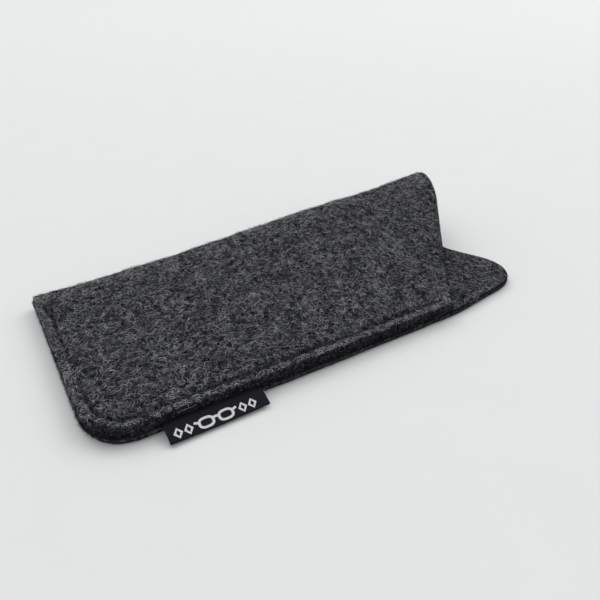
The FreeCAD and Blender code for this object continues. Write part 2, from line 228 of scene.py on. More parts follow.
def felt_grid():
    """Mid-thickness points, outward directions and edge distances of the folded blank, from the
    back layer's near edge round the fold to the front layer's near edge."""
    shares = column_shares()[None, :]
    panel = np.arange(EDGE_ROWS + PANEL_ROWS + 1, dtype=float)[:, None]
    turn = np.linspace(0, math.pi, FOLD_ROWS + 2)[1:-1, None]

    def fold_y(x):
        return fold_centre(rise(x)) + (rise(x) - THICKNESS) / 2 * np.sin(turn)

    def fold_end(y):
        blend = smoothstep(0, math.pi, turn)
        return (1 - blend) * tab_x(y) + blend * mouth_x(y)

    back_end = solve_end(lambda x: panel_y(panel, x), tab_x)
    front_end = solve_end(lambda x: panel_y(panel, x), mouth_x)
    turn_end = solve_end(fold_y, fold_end)
    panel_start = np.where(panel <= EDGE_ROWS, closed_end_x(panel_y(panel, 0.0)), 0.0)

    back_x = panel_start + (back_end - panel_start) * shares
    back_y = panel_y(panel, back_x)
    back = np.stack([back_x, back_y, np.full_like(back_x, THICKNESS / 2)], axis=-1)

    turn_x = turn_end * shares
    radius = (rise(turn_x) - THICKNESS) / 2
    fold = np.stack([turn_x, fold_centre(rise(turn_x)) + radius * np.sin(turn),
                     rise(turn_x) / 2 - radius * np.cos(turn)], axis=-1)

    front_x = (panel_start + (front_end - panel_start) * shares)[::-1]
    front_y = panel_y(panel[::-1], front_x)
    front = np.stack([front_x, front_y, front_height(front_x, front_y)], axis=-1)

    step = 0.05
    slope_x = (front_height(front_x + step, front_y)
               - front_height(front_x - step, front_y)) / (2 * step)
    slope_y = (front_height(front_x, front_y + step)
               - front_height(front_x, front_y - step)) / (2 * step)
    front_out = np.stack([-slope_x, -slope_y, np.ones_like(slope_x)], axis=-1)
    back_out = np.zeros_like(back)
    back_out[..., 2] = -1
    turn_out = np.stack([-slope_x[:1] * smoothstep(0.3, 1, turn / math.pi) + 0 * turn_x,
                         np.sin(turn) + 0 * turn_x, -np.cos(turn) + 0 * turn_x], axis=-1)
    points = np.concatenate([back, fold, front])
    outward = np.concatenate([back_out, turn_out, front_out])
    outward /= np.linalg.norm(outward, axis=-1, keepdims=True)

    ends = np.concatenate([back_end, turn_end, front_end[::-1]])
    end_y = np.concatenate([panel_y(panel, back_end), fold_y(turn_end),
                            panel_y(panel[::-1], front_end[::-1])])
    lean = np.gradient(ends[:, 0]) / np.where(
        np.abs(np.gradient(end_y[:, 0])) < 1e-3, 1e-3, np.gradient(end_y[:, 0]))
    lean[len(back):len(back) + len(fold)] = 0
    to_mouth = (ends - points[..., 0]) / np.sqrt(1 + lean[:, None]**2)
    to_seam = seam_distance(points[..., 0], points[..., 1])
    to_seam[len(back):len(back) + len(fold)] = points[len(back):len(back) + len(fold), :, 0]
    return points, outward, np.minimum(to_mouth, to_seam), to_seam


def settle(places):
    """Felt pulls in a little where the closed end and its corner are sewn."""
    x, y, z = places[..., 0], places[..., 1], places[..., 2]
    end_pull = END_PULL * (1 - smoothstep(0, PULL_REACH, x))
    side_pull = SIDE_PULL * (1 - smoothstep(25, 75, x)) * (1 - smoothstep(0, PULL_REACH, y))
    return np.stack([x + end_pull, y + side_pull, z], axis=-1)


def rounded(distance, radius):
    """How far a surface drops near a cut edge that is rounded to a radius."""
    inside = np.clip(radius - distance, 0, radius)
    return radius - np.sqrt(radius**2 - inside**2)


def field(points, frequency, shift=0.0):
    """Smooth noise at each point, about -1 to 1."""
    flat = points.reshape(-1, 3) * frequency + shift
    values = [noise.noise(Vector(place)) for place in flat]
    return np.array(values).reshape(points.shape[:-1])


def groove_share(points, to_seam):
    """From 0 to 1, how deep in the stitched groove each point is."""
    run = (1 - smoothstep(SEAM_END_X - 0.5, SEAM_END_X + 2.0, points[..., 0]))
    run = run * (1 - smoothstep(SEAM_END_Y - 0.5, SEAM_END_Y + 1.5, points[..., 1]))
    return run * np.exp(-((to_seam - SEAM_INSET) / GROOVE_WIDTH)**2)


def near_side_share(points):
    """1 along the near side, 0 along the closed end, and between them round the corner."""
    x, y = points[..., 0], points[..., 1]
    turn = (CORNER_RADIUS - y) / (np.hypot(CORNER_RADIUS - x, CORNER_RADIUS - y) + 1e-6)
    corner = (x < CORNER_RADIUS) & (y < CORNER_RADIUS)
    return np.where(corner, turn, (y < x) * 1.0)


def backtack_share(points):
    """1 in the pit that the tight back-tack makes at the fold end of the seam, 0 away from it."""
    top = points[..., 2] > SEAM_HEIGHT / 2
    across = (points[..., 0] - SEAM_INSET) / 1.25
    along = (points[..., 1] - SEAM_END_Y + 3.2) / 4.0
    return top * np.exp(-across**2 - np.abs(along)**3)


grid, outward, edge_distance, to_seam = felt_grid()
ROWS, COLS = grid.shape[:2]
lumps = 0.20 * field(grid, 0.09) + 0.13 * field(grid, 0.33, 40.0) + 0.09 * field(grid, 0.9, 80.0)
facing = near_side_share(grid)
backtack = backtack_share(grid)
# Along the closed end the groove is shallower and takes less painted shade than along the near
# side.
groove = groove_share(grid, to_seam) * (0.55 + 0.45 * facing)
groove = np.maximum(groove, backtack)
near_seam = 1 - smoothstep(2, 9, to_seam)
seam_side = (groove.max(axis=1) > 0.5)[:, None] * (1 - smoothstep(
    SEAM_END_X - 2, SEAM_END_X + 6, grid[..., 0]))
puff = 0.22 * np.exp(-((to_seam - SEAM_INSET - 2.3) / 1.4)**2) * (groove.max(axis=1) > 0.5)[:, None]
outer_offset = (THICKNESS / 2 - rounded(edge_distance, OUTER_ROUND)
                - 0.6 * seam_side * facing * rounded(to_seam, SEAM_ROUND) - GROOVE_DEPTH * groove
                + puff + lumps)
inner_offset = THICKNESS / 2 - rounded(edge_distance, INNER_ROUND) + 0.25 * lumps * (1 - near_seam)
back_layer = (np.arange(ROWS) < EDGE_ROWS + PANEL_ROWS)[:, None]
on_tab = smoothstep(TAB_START_X, TAB_START_X + 8, grid[..., 0]) * back_layer
# Painted shade along the cut rims and the near side's seam margin, on top of the cut felt's own
# darker colour: darkest along the near side, lighter on the tab and along the closed end.
rim_painted_shade = 0.8 - 0.55 * on_tab - 0.5 * (1 - facing) * (to_seam < 3)
cut_shade = np.maximum(rim_painted_shade * (1 - smoothstep(0.15, 0.9, edge_distance)),
                       seam_side * facing * (1 - smoothstep(0.7, 2.1, to_seam)))
grid = settle(grid)
outer = grid + outward * outer_offset[..., None]
inner = grid - outward * inner_offset[..., None]
outer[..., 2] = np.maximum(outer[..., 2], 0.02)


def new_piece(name, vertices, faces, smooth=True):
    """A mesh object from design-frame points in millimetres."""
    mesh = bpy.data.meshes.new(name)
    mesh.from_pydata(((np.asarray(vertices) + ORIGIN) * MM).tolist(), [], faces)
    mesh.validate()
    tidy = bmesh.new()
    tidy.from_mesh(mesh)
    bmesh.ops.recalc_face_normals(tidy, faces=tidy.faces)
    tidy.to_mesh(mesh)
    tidy.free()
    mesh.polygons.foreach_set("use_smooth", [smooth] * len(mesh.polygons))
    piece = bpy.data.objects.new(name, mesh)
    bpy.context.scene.collection.objects.link(piece)
    return piece


def perimeter():
    """The grid's boundary as (row, column) pairs, once round."""
    loop = [(0, j) for j in range(COLS)]
    loop += [(i, COLS - 1) for i in range(1, ROWS)]
    loop += [(ROWS - 1, j) for j in range(COLS - 2, -1, -1)]
    loop += [(i, 0) for i in range(ROWS - 2, 0, -1)]
    return loop


def inward_neighbour(i, j):
    """The grid place a few cells in from the boundary, beside a boundary place."""
    return min(max(i, 3), ROWS - 4), min(max(j, 3), COLS - 4)


CUT_ROWS = 6
cut_loop = perimeter()
cut_directions = np.array([grid[i, j] - grid[inward_neighbour(i, j)] for i, j in cut_loop])
cut_directions /= np.linalg.norm(cut_directions, axis=1, keepdims=True)


def cut_face():
    """Rows of points across the felt's cut edge, bulging a little and uneven like cut wool."""
    rim_out = np.array([outer[i, j] for i, j in cut_loop])
    rim_in = np.array([inner[i, j] for i, j in cut_loop])
    rows = []
    for k in range(1, CUT_ROWS + 1):
        share = k / (CUT_ROWS + 1)
        base = rim_out * (1 - share) + rim_in * share
        swell = 0.14 * math.sin(math.pi * share) + 0.16 * field(base, 0.8, 20.0)
        place = base + cut_directions * swell[:, None]
        place[:, 2] = np.maximum(place[:, 2], 0.02)
        rows.append(place)
    return rows


def cut_face_shade():
    """How much painted shade each row of the cut edge takes, on top of the cut felt's own darker
    colour: nearly black in the crevice between the two layers and on the front layer, paler on the
    exposed side of the back layer."""
    back = np.array([i < EDGE_ROWS + PANEL_ROWS for i, j in cut_loop])
    share = (np.arange(CUT_ROWS) / (CUT_ROWS - 1))[:, None]
    back_shade = 0.50 + 0.50 * smoothstep(0.45, 1.0, share)
    front_shade = 0.80 + 0.20 * share
    return np.where(back[None, :], back_shade, front_shade)


def build_felt():
    """The folded blank as one closed mesh: outer face, inner face and the cut edge between them."""
    cut_rows = cut_face()
    vertices = np.concatenate([outer.reshape(-1, 3), inner.reshape(-1, 3), *cut_rows])
    count = ROWS * COLS
    faces = []
    for i in range(ROWS - 1):
        for j in range(COLS - 1):
            a = i * COLS + j
            b = a + COLS
            faces.append((a, b, b + 1, a + 1))
            faces.append((count + a, count + a + 1, count + b + 1, count + b))
    rim = [i * COLS + j for i, j in cut_loop]
    rings = [rim]
    for k in range(CUT_ROWS):
        start = 2 * count + k * len(rim)
        rings.append(list(range(start, start + len(rim))))
    rings.append([count + index for index in rim])
    for first, second in zip(rings, rings[1:]):
        for k in range(len(rim)):
            following = (k + 1) % len(rim)
            faces.append((first[k], first[following], second[following], second[k]))
    piece = new_piece("felt_sleeve", vertices, faces)
    shade = piece.data.attributes.new("cut_edge", "FLOAT", "POINT")
    # Painted shade on the outer face: cut_shade along the rims, plus the seam groove and the
    # back-tack pit; on the inner face, painted shade along its cut rim.
    outer_shade = np.maximum(cut_shade, 0.9 * groove + 0.3 * backtack)
    inner_shade = 1 - smoothstep(0.0, 0.8, edge_distance)
    painted_edge_shade = np.concatenate([outer_shade.ravel(), inner_shade.ravel(), cut_face_shade().ravel()])
    shade.data.foreach_set("value", painted_edge_shade.astype(np.float32))
    return piece, cut_rows


# ---------------------------------------------------------------- wool fibres

FIBRE_STEPS = 6
NAP_LENGTH = (1.2, 3.6)
NAP_RADIUS = 0.034
NAP_CURL = 1.1
RIDGE_LENGTH = (0.4, 1.1)
RIDGE_LIFT = (0.04, 0.22)
RIDGE_RADIUS = 0.032
RIDGE_CURL = 1.2
CUT_FIBRE_LENGTH = (0.25, 0.8)
CUT_FIBRE_RADIUS = 0.030

patches = field(grid, 0.16, 7.0) + 0.7 * field(grid, 0.42, 17.0)
cover = np.clip(0.75 + 1.5 * patches, 0.15, 2.0) * (1 - 0.92 * groove) * (1 - 0.9 * cut_shade)

barrier = np.maximum(groove, 0.7 * cut_shade) + 0.8 * backtack


def sample(array, i, j):
    """Bilinear value of a grid array at fractional rows and columns."""
    i = np.clip(i, 0, ROWS - 1.001)
    j = np.clip(j, 0, COLS - 1.001)
    row = i.astype(int)
    column = j.astype(int)
    s = (i - row)[:, None]
    t = (j - column)[:, None]
    return ((array[row, column] * (1 - s) + array[row + 1, column] * s) * (1 - t)
            + (array[row, column + 1] * (1 - s) + array[row + 1, column + 1] * s) * t)


def scatter(surface, rows, count, columns=(0, COLS - 1)):
    """Random grid places over part of a surface, thinner in sparse patches, in the groove and on
    the cut rim.
    """
    low, high = rows
    left, right = columns
    across = surface[low + 1:high + 1, left:right] - surface[low:high, left:right]
    along = surface[low:high, left + 1:right + 1] - surface[low:high, left:right]
    area = np.linalg.norm(np.cross(across, along), axis=-1) * cover[low:high, left:right]
    cell = rng.choice(area.size, size=count, p=area.ravel() / area.sum())
    i, j = np.unravel_index(cell, area.shape)
    return low + i + rng.random(count), left + j + rng.random(count)


def surface_fibres(surface, direction, rows, count, length, lift, curl, columns=(0, COLS - 1)):
    """Centre lines of curly fibres that lie on a surface: (fibre, step, xyz)."""
    steps = FIBRE_STEPS
    i, j = scatter(surface, rows, count, columns)
    across = np.gradient(surface, axis=0)
    along = np.gradient(surface, axis=1)
    heading = rng.random(count) * 2 * math.pi
    bend = rng.normal(0, curl, count)
    reach = rng.uniform(*length, count) / (steps - 1)
    height = rng.uniform(*lift, count)
    free_end = rng.random(count) < 0.45
    blocked = np.zeros(count)
    lines = []
    for k in range(steps):
        share = k / (steps - 1)
        arch = np.where(free_end, share**1.4, math.sin(math.pi * share))
        blocked = np.maximum(blocked, sample(barrier[..., None], i, j)[:, 0])
        lines.append(sample(surface, i, j)
                     + sample(direction, i, j) * (height * arch - 0.02)[:, None])
        di = sample(across, i, j)
        dj = sample(along, i, j)
        unit = dj / np.linalg.norm(dj, axis=1, keepdims=True)
        side = np.cross(sample(direction, i, j), unit)
        a = (di * unit).sum(1)
        b = (dj * unit).sum(1)
        c = (di * side).sum(1)
        d = (dj * side).sum(1)
        scale = a * d - b * c
        scale = np.where(np.abs(scale) < 1e-4, 1e-4, scale)
        u = np.cos(heading) * reach
        v = np.sin(heading) * reach
        i = np.clip(i + np.clip((u * d - v * b) / scale, -3, 3), 0, ROWS - 1.001)
        j = np.clip(j + np.clip((v * a - u * c) / scale, -3, 3), 0, COLS - 1.001)
        heading = heading + bend * reach + rng.normal(0, 0.25, count)
    clear = (blocked < 0.40) | ((rng.random(count) < 0.05) & (blocked < 1.1))
    return np.stack(lines, axis=1)[clear]


def edge_fibres(rows, count, length, chosen):
    """Centre lines of short loose fibres that stand out of the chosen part of the cut edge."""
    places = np.concatenate([row[chosen] for row in rows])
    directions = np.concatenate([cut_directions[chosen]] * len(rows))
    pick = rng.integers(0, len(places), count)
    steps = FIBRE_STEPS
    aim = directions[pick] + rng.normal(0, 0.75, (count, 3))
    aim /= np.linalg.norm(aim, axis=1, keepdims=True)
    sideways = np.cross(aim, rng.normal(0, 1, (count, 3)))
    reach = rng.uniform(*length, count)[:, None]
    bend = rng.uniform(0.1, 0.5, count)[:, None]
    lines = []
    for k in range(steps):
        share = k / (steps - 1)
        lines.append(places[pick] + aim * reach * share + sideways * bend * share**2 * reach
                     - directions[pick] * 0.05)
    lines = np.stack(lines, axis=1)
    lines[..., 2] = np.maximum(lines[..., 2], 0.05)
    return lines


def fibre_mesh(name, lines, radius, shade_power=1.0):
    """Three-sided tubes round the centre lines, tapering to closed tips. A lower power gives more
    of the pale fibres."""
    count, steps = lines.shape[:2]
    tangent = np.gradient(lines, axis=1)
    tangent /= np.linalg.norm(tangent, axis=2, keepdims=True) + 1e-9
    helper = np.tile(rng.normal(0, 1, (count, 1, 3)), (1, steps, 1))
    side = np.cross(tangent, helper)
    side /= np.linalg.norm(side, axis=2, keepdims=True) + 1e-9
    other = np.cross(tangent, side)
    taper = np.array([0.35] + [1.0] * (steps - 2) + [0.25])
    width = rng.uniform(0.7, 1.25, count)[:, None] * radius * taper[None, :]
    rings = []
    for corner in range(3):
        angle = corner * 2 * math.pi / 3
        rings.append(lines + (side * math.cos(angle) + other * math.sin(angle)) * width[..., None])
    vertices = np.stack(rings, axis=2)
    vertices[..., 2] = np.maximum(vertices[..., 2], 0.01)
    index = np.arange(count * steps * 3).reshape(count, steps, 3)
    quads = []
    for corner in range(3):
        following = (corner + 1) % 3
        quads.append(np.stack([index[:, :-1, corner], index[:, :-1, following],
                               index[:, 1:, following], index[:, 1:, corner]], axis=-1))
    faces = np.concatenate([quad.reshape(-1, 4) for quad in quads]).tolist()
    faces += index[:, 0, ::-1].reshape(-1, 3).tolist()
    faces += index[:, -1, :].reshape(-1, 3).tolist()
    mesh = bpy.data.meshes.new(name)
    mesh.from_pydata(((vertices.reshape(-1, 3) + ORIGIN) * MM).tolist(), [], faces)
    mesh.polygons.foreach_set("use_smooth", [True] * len(mesh.polygons))
    tone = mesh.attributes.new("tone", "FLOAT", "POINT")
    shades = np.repeat(rng.random(count)**shade_power, steps * 3)
    tone.data.foreach_set("value", shades.astype(np.float32))
    piece = bpy.data.objects.new(name, mesh)
    bpy.context.scene.collection.objects.link(piece)
    return piece


# ---------------------------------------------------------------- threads

THREAD_PLY_RADIUS = 0.125
THREAD_TWIST_PITCH = 1.1
THREAD_SIDES = 6


def seam_line(distance):
    """Point and sideways direction on the seam, from the fold end of the closed end round the
    corner and along the near side."""
    corner = CORNER_RADIUS - SEAM_INSET
    end_run = SEAM_END_Y - CORNER_RADIUS
    turn_run = corner * math.pi / 2
    turn = np.clip((distance - end_run) / corner, 0, math.pi / 2)
    x = CORNER_RADIUS - corner * np.cos(turn) + np.clip(distance - end_run - turn_run, 0, None)
    y = CORNER_RADIUS - corner * np.sin(turn) + np.clip(end_run - distance, 0, None)
    pulled = settle(np.stack([x, y, 0 * x], axis=-1))[:, :2]
    return pulled, np.stack([np.cos(turn), np.sin(turn)], axis=-1)


SEAM_RUN = (SEAM_END_Y - CORNER_RADIUS + (CORNER_RADIUS - SEAM_INSET) * math.pi / 2
            + SEAM_END_X - CORNER_RADIUS)


def thread_run(start, end, lie, dive, sideways, up):
    """Centre line of one pass of sewing thread: it lies at a height and dives at each hole."""
    distance = np.arange(start, end, 0.09)
    place, across = seam_line(distance)
    hole = np.abs(np.cos(math.pi * distance / STITCH_PITCH))**14
    wander = 0.05 * np.sin(distance * 1.7) + sideways
    return np.column_stack([place + across * wander[:, None], lie - up * dive * hole])


def ply_tube(path, phase):
    """One ply of a twisted thread, as rings of points and their faces."""
    tangent = np.gradient(path, axis=0)
    tangent /= np.linalg.norm(tangent, axis=1, keepdims=True)
    side = np.cross(tangent, [0.0, 0.0, 1.0])
    side /= np.linalg.norm(side, axis=1, keepdims=True) + 1e-9
    top = np.cross(side, tangent)
    travelled = np.concatenate([[0], np.cumsum(np.linalg.norm(np.diff(path, axis=0), axis=1))])
    angle = travelled / THREAD_TWIST_PITCH * 2 * math.pi + phase
    centre = path + (side * np.cos(angle)[:, None] + top * np.sin(angle)[:, None]) * 0.1
    rings = []
    for corner in range(THREAD_SIDES):
        around = corner * 2 * math.pi / THREAD_SIDES
        rings.append(centre + (side * math.cos(around) + top * math.sin(around))
                     * THREAD_PLY_RADIUS)
    return np.stack(rings, axis=1)


def build_thread(name, lie, dive, up):
    """A lockstitch thread: one long run, four more short passes at the fold end of the closed
    end, and two more at the mouth end."""
    tack = 2 * STITCH_PITCH
    runs = [thread_run(0.0, SEAM_RUN, lie, dive, 0.0, up)]
    for sideways, raised in ((0.30, 0.10), (-0.30, 0.14), (0.06, 0.34), (-0.16, 0.30)):
        runs.append(thread_run(0.0, tack, lie + up * raised, dive * 0.8, sideways, up))
    for sideways in (0.24, -0.20):
        runs.append(thread_run(SEAM_RUN - tack, SEAM_RUN, lie + up * 0.10, dive, sideways, up))
    vertices = []
    faces = []
    for path in runs:
        for phase in (0.0, math.pi):
            rings = ply_tube(path, phase)
            start = sum(len(block) for block in vertices)
            index = start + np.arange(rings.shape[0] * THREAD_SIDES).reshape(-1, THREAD_SIDES)
            for corner in range(THREAD_SIDES):
                following = (corner + 1) % THREAD_SIDES
                faces += np.stack([index[:-1, corner], index[:-1, following],
                                   index[1:, following], index[1:, corner]], axis=-1).tolist()
            faces.append(index[0, ::-1].tolist())
            faces.append(index[-1].tolist())
            vertices.append(rings.reshape(-1, 3))
    places = np.concatenate(vertices)
    places[:, 2] = np.clip(places[:, 2], 0.03, None)
    return new_piece(name, places, faces)


# ---------------------------------------------------------------- ribbon label

LABEL_X = 19.0
LABEL_WIDTH = 29.0
LABEL_TAIL = 7.6
LABEL_REACH = 5.4
LABEL_PLY = 0.25
LABEL_SLOT = 0.2
LABEL_DROOP = math.radians(22.0)
HINGE_Y = -0.6
MID_HEIGHT = THICKNESS + PLY_GAP / 2
RIBBON_SPACING = (LABEL_PLY + LABEL_SLOT) / 2


def label_point(along, lift):
    """A point of the free loop in the yz plane: along from the hinge, lift from its middle."""
    forward = np.array([-math.cos(LABEL_DROOP), -math.sin(LABEL_DROOP)])
    upward = np.array([-math.sin(LABEL_DROOP), math.cos(LABEL_DROOP)])
    return np.array([HINGE_Y, MID_HEIGHT]) + forward * along + upward * lift


def ribbon_centre():
    """The ribbon's centre line in the yz plane: upper tail, upper ply, fold, lower ply, tail."""
    straight = LABEL_REACH - LABEL_PLY - LABEL_SLOT / 2
    upper = [label_point(q, RIBBON_SPACING) for q in np.linspace(0.5, straight, 12)]
    turn = [label_point(straight + RIBBON_SPACING * math.sin(a), RIBBON_SPACING * math.cos(a))
            for a in np.linspace(0, math.pi, 9)[1:-1]]
    lower = [label_point(q, -RIBBON_SPACING) for q in np.linspace(straight, 0.5, 12)]
    tail_y = np.linspace(LABEL_TAIL - 0.2, 0.0, 8)
    top_tail = [np.array([y, MID_HEIGHT + LABEL_PLY / 2]) for y in tail_y]
    low_tail = [np.array([y, MID_HEIGHT - LABEL_PLY / 2]) for y in tail_y[::-1]]
    return np.array(top_tail + upper + turn + lower + low_tail)


def bow(x_share):
    """The free fold sags a little between its ends."""
    return 0.22 * np.sin(math.pi * x_share) - 0.1 * x_share


def build_ribbon():
    """The folded ribbon as one closed sheet: rows along its length, columns across x."""
    centre = ribbon_centre()
    tangent = np.gradient(centre, axis=0)
    tangent /= np.linalg.norm(tangent, axis=1, keepdims=True)
    normal = np.column_stack([-tangent[:, 1], tangent[:, 0]])
    columns = np.concatenate([[0.0, 0.004, 0.012], np.linspace(0.03, 0.97, 48),
                              [0.988, 0.996, 1.0]])
    half = LABEL_PLY / 2 - 0.005
    rows, wide = len(centre), len(columns)
    sheets = []
    for side in (1, -1):
        thin = half * np.sqrt(np.clip(1 - (1 - np.minimum(columns, 1 - columns) / 0.012).clip(0)**2,
                                      0.02, 1))
        free = smoothstep(0.4, -4.5, centre[:, 0])[:, None]
        y = centre[:, 0][:, None] + normal[:, 0][:, None] * thin * side
        z = centre[:, 1][:, None] + normal[:, 1][:, None] * thin * side - bow(columns) * free
        x = LABEL_X + LABEL_WIDTH * columns[None, :] + 0 * y
        sheets.append(np.stack([x, y, z], axis=-1))
    vertices = np.concatenate([sheet.reshape(-1, 3) for sheet in sheets])
    count = rows * wide
    faces = []
    for i in range(rows - 1):
        for j in range(wide - 1):
            a = i * wide + j
            b = a + wide
            faces.append((a, b, b + 1, a + 1))
            faces.append((count + a, count + a + 1, count + b + 1, count + b))
    rim = list(range(wide)) + [i * wide + wide - 1 for i in range(1, rows)]
    rim += [(rows - 1) * wide + j for j in range(wide - 2, -1, -1)]
    rim += [i * wide for i in range(rows - 2, 0, -1)]
    for a, b in zip(rim, rim[1:] + rim[:1]):
        faces.append((a, b, count + b, count + a))
    return new_piece("ribbon_label", vertices, faces)


def motif_strokes():
    """The woven mark, in millimetres from the middle of the label and from its hinge: a pair of
    round lenses with a bridge between two rows of diamonds. Each stroke is (points, closed)."""
    middle_q = 3.15
    strokes = []
    for side in (-1, 1):
        angles = np.linspace(0, 2 * math.pi, 33)[:-1]
        lens = np.column_stack([
            side * 2.55 + 1.75 * np.sign(np.cos(angles)) * np.abs(np.cos(angles))**0.75,
            middle_q + 1.3 * np.sign(np.sin(angles)) * np.abs(np.sin(angles))**0.75])
        strokes.append((lens, True))
        strokes.append((np.array([[side * 4.5, middle_q - 0.55], [side * 5.5, middle_q - 0.9]]),
                        False))
        for centre in (7.0, 9.6):
            diamond = np.array([[centre - 0.85, middle_q], [centre, middle_q - 1.25],
                                [centre + 0.85, middle_q], [centre, middle_q + 1.25]])
            diamond[:, 0] *= side
            strokes.append((diamond, True))
    arch = np.linspace(-0.75, 0.75, 7)
    strokes.append((np.column_stack([arch, middle_q - 0.35 - 0.3 * np.cos(arch * 2)]), False))
    return strokes


def build_motif():
    """The mark as raised satin floats on the upper ply."""
    half_width = 0.36
    section = [(-1.0, -0.03), (-0.9, 0.03), (0.0, 0.055), (0.9, 0.03), (1.0, -0.03)]
    centre_x = LABEL_X + LABEL_WIDTH * 0.47
    top = RIBBON_SPACING + LABEL_PLY / 2
    vertices = []
    faces = []
    for points, closed in motif_strokes():
        before = np.roll(points, 1, axis=0) if closed else np.vstack([points[:1], points[:-1]])
        after = np.roll(points, -1, axis=0) if closed else np.vstack([points[1:], points[-1:]])
        tangent = after - before
        tangent /= np.linalg.norm(tangent, axis=1, keepdims=True)
        normal = np.column_stack([-tangent[:, 1], tangent[:, 0]])
        start = len(vertices)
        for place, across in zip(points, normal):
            for sideways, lift in section:
                flat = place + across * sideways * half_width
                y, z = label_point(flat[1], top + lift)
                x = centre_x + flat[0] * 1.12
                free = smoothstep(0.4, -4.5, y)
                vertices.append((x, y, z - bow((x - LABEL_X) / LABEL_WIDTH) * free))
        count = len(points)
        width = len(section)
        for k in range(count if closed else count - 1):
            following = (k + 1) % count
            for c in range(width):
                d = (c + 1) % width
                faces.append((start + k * width + c, start + following * width + c,
                              start + following * width + d, start + k * width + d))
        if not closed:
            faces.append(tuple(start + c for c in range(width)))
            faces.append(tuple(start + (count - 1) * width + c for c in reversed(range(width))))
    return new_piece("label_motif", vertices, faces, smooth=False)


def frayed_ends():
    """Pale weft ends at the ribbon's two heat-cut sides."""
    lines = []
    for side, x in ((-1, LABEL_X), (1, LABEL_X + LABEL_WIDTH)):
        for _ in range(16):
            q = rng.uniform(0.9, LABEL_REACH - 0.5)
            y, z = label_point(q, rng.choice([-1, 1]) * RIBBON_SPACING)
            free = smoothstep(0.4, -4.5, y)
            z = z - bow((x - LABEL_X) / LABEL_WIDTH) * free
            reach = rng.uniform(0.12, 0.4)
            share = np.linspace(-0.3, 1, 6)[:, None]
            aim = np.array([side, rng.normal(0, 0.5), rng.normal(0, 0.4)])
            lines.append(np.array([x, y, z]) + aim * reach * share)
    return np.array(lines)


# ---------------------------------------------------------------- materials


class Nodes:
    """Short calls for building one material's node tree."""

    def __init__(self, name):
        self.material = bpy.data.materials.new(name)
        self.material.use_nodes = True
        self.tree = self.material.node_tree
        self.shader = self.tree.nodes["Principled BSDF"]
        coordinates = self.tree.nodes.new("ShaderNodeTexCoord")
        self.millimetres = self.vector("SCALE", coordinates.outputs["Object"], 1 / MM)

    def link(self, source, target):
        if isinstance(source, (int, float, tuple)):
            target.default_value = source
        else:
            self.tree.links.new(source, target)

    def math(self, operation, *inputs):
        node = self.tree.nodes.new("ShaderNodeMath")
        node.operation = operation
        for value, socket in zip(inputs, node.inputs):
            self.link(value, socket)
        return node.outputs[0]

    def vector(self, operation, first, second):
        node = self.tree.nodes.new("ShaderNodeVectorMath")
        node.operation = operation
        self.link(first, node.inputs[0])
        if operation == "SCALE":
            node.inputs["Scale"].default_value = second
        else:
            self.link(second, node.inputs[1])
        return node.outputs[0]

    def noise(self, scale, detail=2.0, distortion=0.0, shift=(0.0, 0.0, 0.0), rough=0.5):
        node = self.tree.nodes.new("ShaderNodeTexNoise")
        self.link(self.vector("ADD", self.millimetres, shift), node.inputs["Vector"])
        node.inputs["Scale"].default_value = scale
        node.inputs["Detail"].default_value = detail
        node.inputs["Roughness"].default_value = rough
        node.inputs["Distortion"].default_value = distortion
        return node.outputs["Fac"]

    def ramp(self, value, low, high, start=0.0, end=1.0):
        node = self.tree.nodes.new("ShaderNodeMapRange")
        node.interpolation_type = "SMOOTHSTEP"
        self.link(value, node.inputs["Value"])
        for name, number in (("From Min", low), ("From Max", high), ("To Min", start),
                             ("To Max", end)):
            node.inputs[name].default_value = number
        return node.outputs["Result"]

    def mix(self, share, first, second):
        node = self.tree.nodes.new("ShaderNodeMix")
        node.data_type = "RGBA"
        self.link(share, node.inputs["Factor"])
        for value, name in ((first, "A"), (second, "B")):
            socket = next(item for item in node.inputs
                          if item.name == name and item.type == "RGBA")
            self.link((*value, 1.0) if isinstance(value, tuple) else value, socket)
        return next(item for item in node.outputs if item.type == "RGBA")

    def attribute(self, name):
        node = self.tree.nodes.new("ShaderNodeAttribute")
        node.attribute_name = name
        return node.outputs["Fac"]

    def bump(self, height, strength, distance):
        node = self.tree.nodes.new("ShaderNodeBump")
        node.inputs["Strength"].default_value = strength
        node.inputs["Distance"].default_value = distance * MM
        self.link(height, node.inputs["Height"])
        self.tree.links.new(node.outputs["Normal"], self.shader.inputs["Normal"])

    def finish(self, **constants):
        for name, value in constants.items():
            self.shader.inputs[name.replace("_", " ")].default_value = value
        return self.material


def curly_lines(nodes, scale, width, shift, distortion):
    """Thin curly lines, where a noise crosses its middle value."""
    value = nodes.noise(scale, detail=1.2, distortion=distortion, shift=shift)
    away = nodes.math("ABSOLUTE", nodes.math("SUBTRACT", value, 0.5))
    return nodes.ramp(away, width, 0.0)


